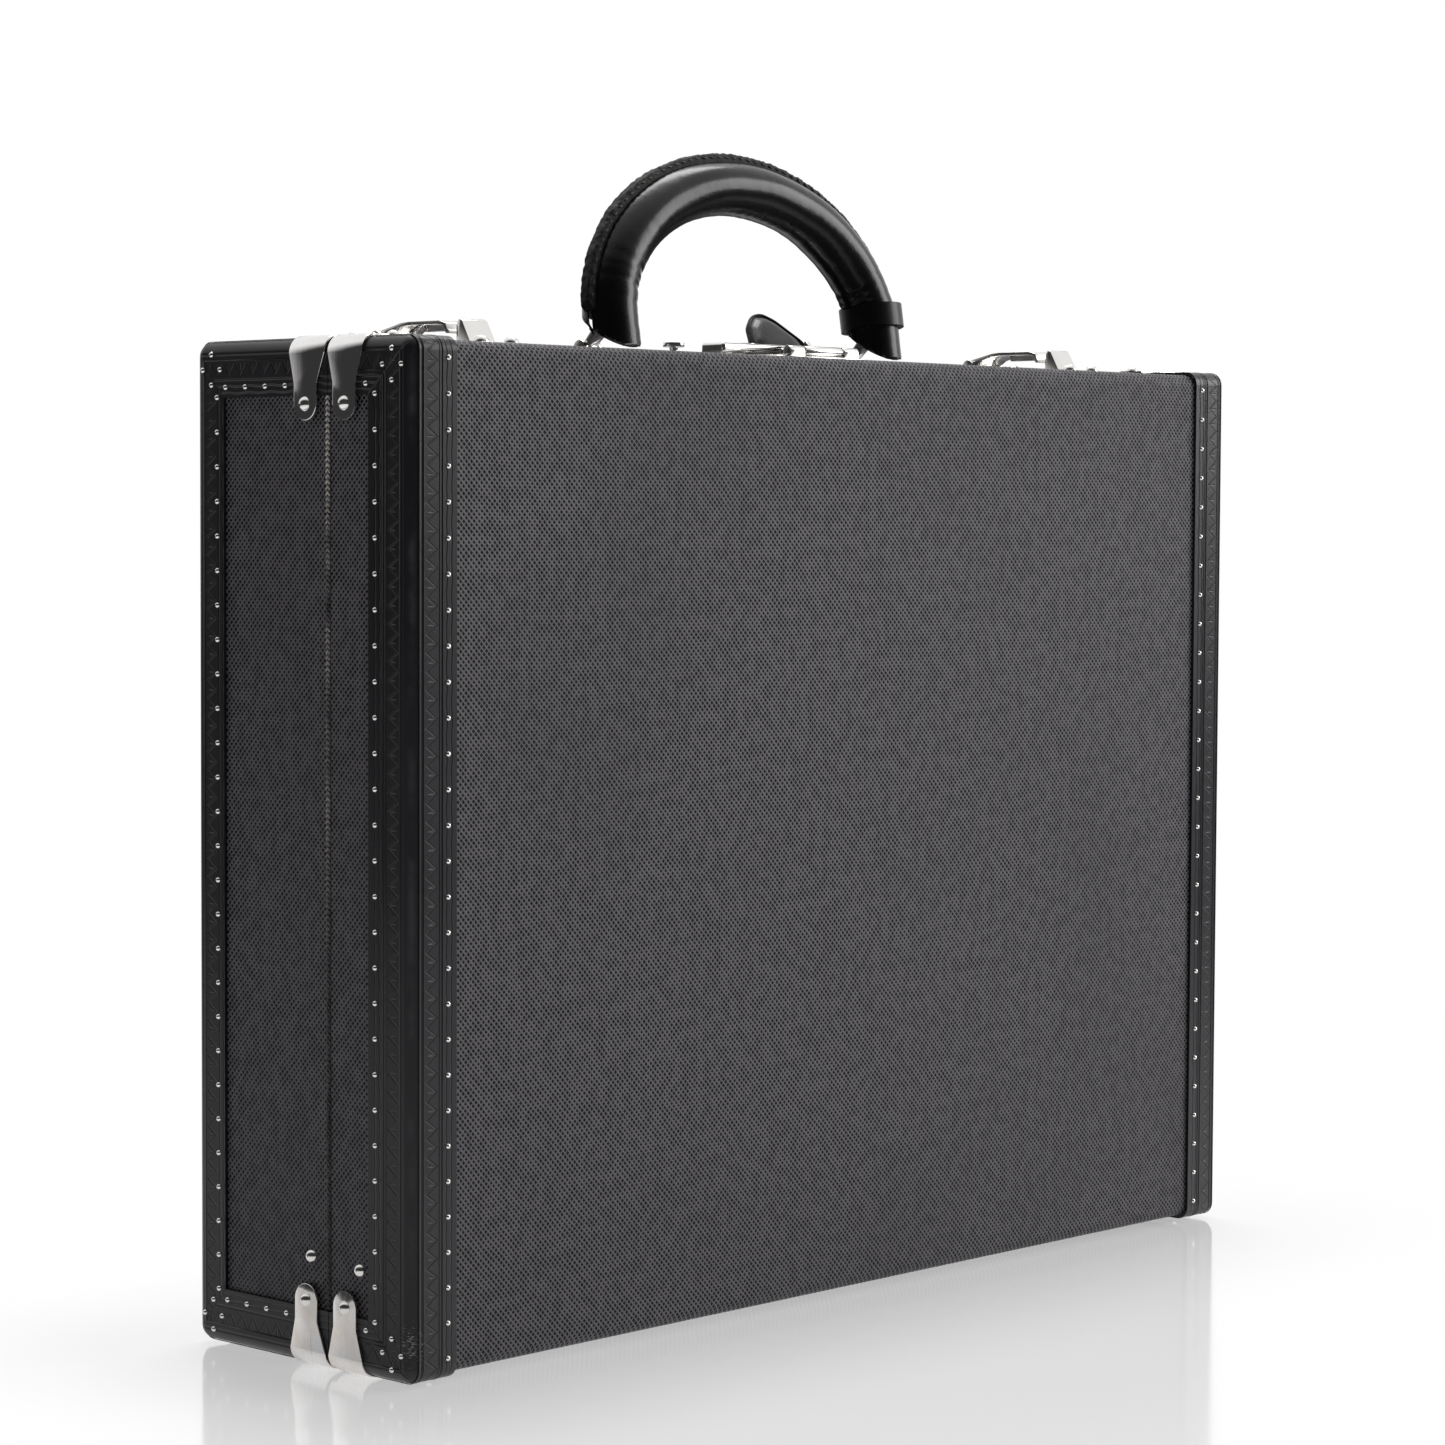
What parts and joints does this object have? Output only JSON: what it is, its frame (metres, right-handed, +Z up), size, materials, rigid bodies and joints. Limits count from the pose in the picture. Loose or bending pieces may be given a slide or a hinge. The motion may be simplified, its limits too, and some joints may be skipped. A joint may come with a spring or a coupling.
{
  "type": "attache case",
  "caption": "Hard leather-clad attache case with nailed leather bindings, metal edge clips, hinged lid on stays, lift latches, hasp lock and swinging arched handle.",
  "frame": {"origin": "on the floor under the middle of the case", "axes": "+Z up, +X along the width to the right seen from the lid, lid toward -Y and body toward +Y"},
  "size_m": [0.4556, 0.1136, 0.4278],
  "materials": {
    "leather_cover": "cross-grain, semi-matte",
    "leather_binding": "smooth, semi-gloss",
    "leather_handle": "smooth, semi-gloss",
    "leather_inside": "matte",
    "board": "plain plywood",
    "lining": "matte",
    "frame_metal": "satin",
    "fitting_metal": "polished",
    "nail_metal": "polished",
    "steel": "brushed",
    "key_metal": "satin"
  },
  "bodies": {
    "case": {"body_shell": "board", "body_cover": "leather_cover", "body_lining": "lining", "body_frame": "frame_metal", "body_binding_left_side": "leather_binding", "body_binding_left_top": "leather_binding", "body_binding_left_bottom": "leather_binding", "body_binding_right_side": "leather_binding", "body_binding_right_top": "leather_binding", "body_binding_right_bottom": "leather_binding", "body_nails": "nail_metal", "body_edge_clips": "fitting_metal", "body_rivets": "fitting_metal", "latch_base_left": "fitting_metal", "latch_base_right": "fitting_metal", "lock_plate": "fitting_metal", "lock_case": "fitting_metal", "handle_mount_left": "fitting_metal", "handle_mount_right": "fitting_metal", "hinge_leaf_body": "steel", "hinge_pin": "steel", "stay_studs_body": "steel"},
    "lid": {"lid_shell": "board", "lid_cover": "leather_cover", "lid_lining": "lining", "lid_frame": "frame_metal", "lid_binding_left_side": "leather_binding", "lid_binding_left_top": "leather_binding", "lid_binding_left_bottom": "leather_binding", "lid_binding_right_side": "leather_binding", "lid_binding_right_top": "leather_binding", "lid_binding_right_bottom": "leather_binding", "lid_nails": "nail_metal", "lid_edge_clips": "fitting_metal", "lid_rivets": "fitting_metal", "stay_studs_lid": "steel", "hinge_leaf_lid": "steel", "latch_catch_left": "fitting_metal", "latch_catch_right": "fitting_metal", "hasp_base": "fitting_metal", "hasp_pin": "steel", "document_pocket": "leather_inside"},
    "handle": {"handle_shank_left": "fitting_metal", "handle_shank_right": "fitting_metal", "handle_core": "steel", "handle_grip": "leather_handle", "handle_spine": "leather_handle", "tag_loop": "leather_handle"},
    "tag": {"tag_body": "leather_handle", "tag_strap": "leather_handle", "tag_buckle": "fitting_metal"},
    "latch_left": {"latch_lever_left": "fitting_metal"},
    "latch_right": {"latch_lever_right": "fitting_metal"},
    "hasp": {"hasp_flap": "fitting_metal"},
    "key": {"key_cylinder": "key_metal"},
    "knob_left": {"lock_knob_left": "fitting_metal"},
    "knob_right": {"lock_knob_right": "fitting_metal"},
    "stay_left": {"stay_arm_left": "steel"},
    "stay_right": {"stay_arm_right": "steel"}
  },
  "joints": [
    {"name": "lid_open", "type": "hinge", "parent": "case", "child": "lid", "pos_m": [0, -0.0145, 0.0026], "axis": [1, 0, 0], "range_deg": [0, 95]},
    {"name": "stay_left_turn", "type": "hinge", "parent": "lid", "child": "stay_left", "pos_m": [-0.2152, -0.02917, 0.037], "axis": [1, 0, 0], "range_deg": [-47.5, 0]},
    {"name": "stay_right_turn", "type": "hinge", "parent": "lid", "child": "stay_right", "pos_m": [0.2152, -0.02917, 0.037], "axis": [1, 0, 0], "range_deg": [-47.5, 0]},
    {"name": "handle_swing", "type": "hinge", "parent": "case", "child": "handle", "pos_m": [0, 0.0156, 0.3516], "axis": [-1, 0, 0], "range_deg": [-3, 80]},
    {"name": "tag_swing", "type": "hinge", "parent": "case", "child": "tag", "pos_m": [0.06, 0.0156, 0.3516], "axis": [1, 0, 0], "range_deg": [0, 40]},
    {"name": "latch_left_lift", "type": "hinge", "parent": "case", "child": "latch_left", "pos_m": [-0.162, 0.0215, 0.352], "axis": [-1, 0, 0], "range_deg": [0, 105]},
    {"name": "latch_right_lift", "type": "hinge", "parent": "case", "child": "latch_right", "pos_m": [0.162, 0.0215, 0.352], "axis": [-1, 0, 0], "range_deg": [0, 105]},
    {"name": "hasp_open", "type": "hinge", "parent": "lid", "child": "hasp", "pos_m": [0, -0.034, 0.3515], "axis": [1, 0, 0], "range_deg": [0, 110]},
    {"name": "key_turn", "type": "hinge", "parent": "case", "child": "key", "pos_m": [0, 0.005, 0.3529], "axis": [0, 0, 1], "range_deg": [0, 90]},
    {"name": "knob_left_slide", "type": "slide", "parent": "case", "child": "knob_left", "axis": [-1, 0, 0], "range_m": [0, 0.0035], "stiffness_N_per_m": 150},
    {"name": "knob_right_slide", "type": "slide", "parent": "case", "child": "knob_right", "axis": [1, 0, 0], "range_m": [0, 0.0035], "stiffness_N_per_m": 150}
  ],
  "couplings": [
    {"joint": "stay_left_turn", "follows": "lid_open", "ratio": -0.5},
    {"joint": "stay_right_turn", "follows": "lid_open", "ratio": -0.5}
  ]
}
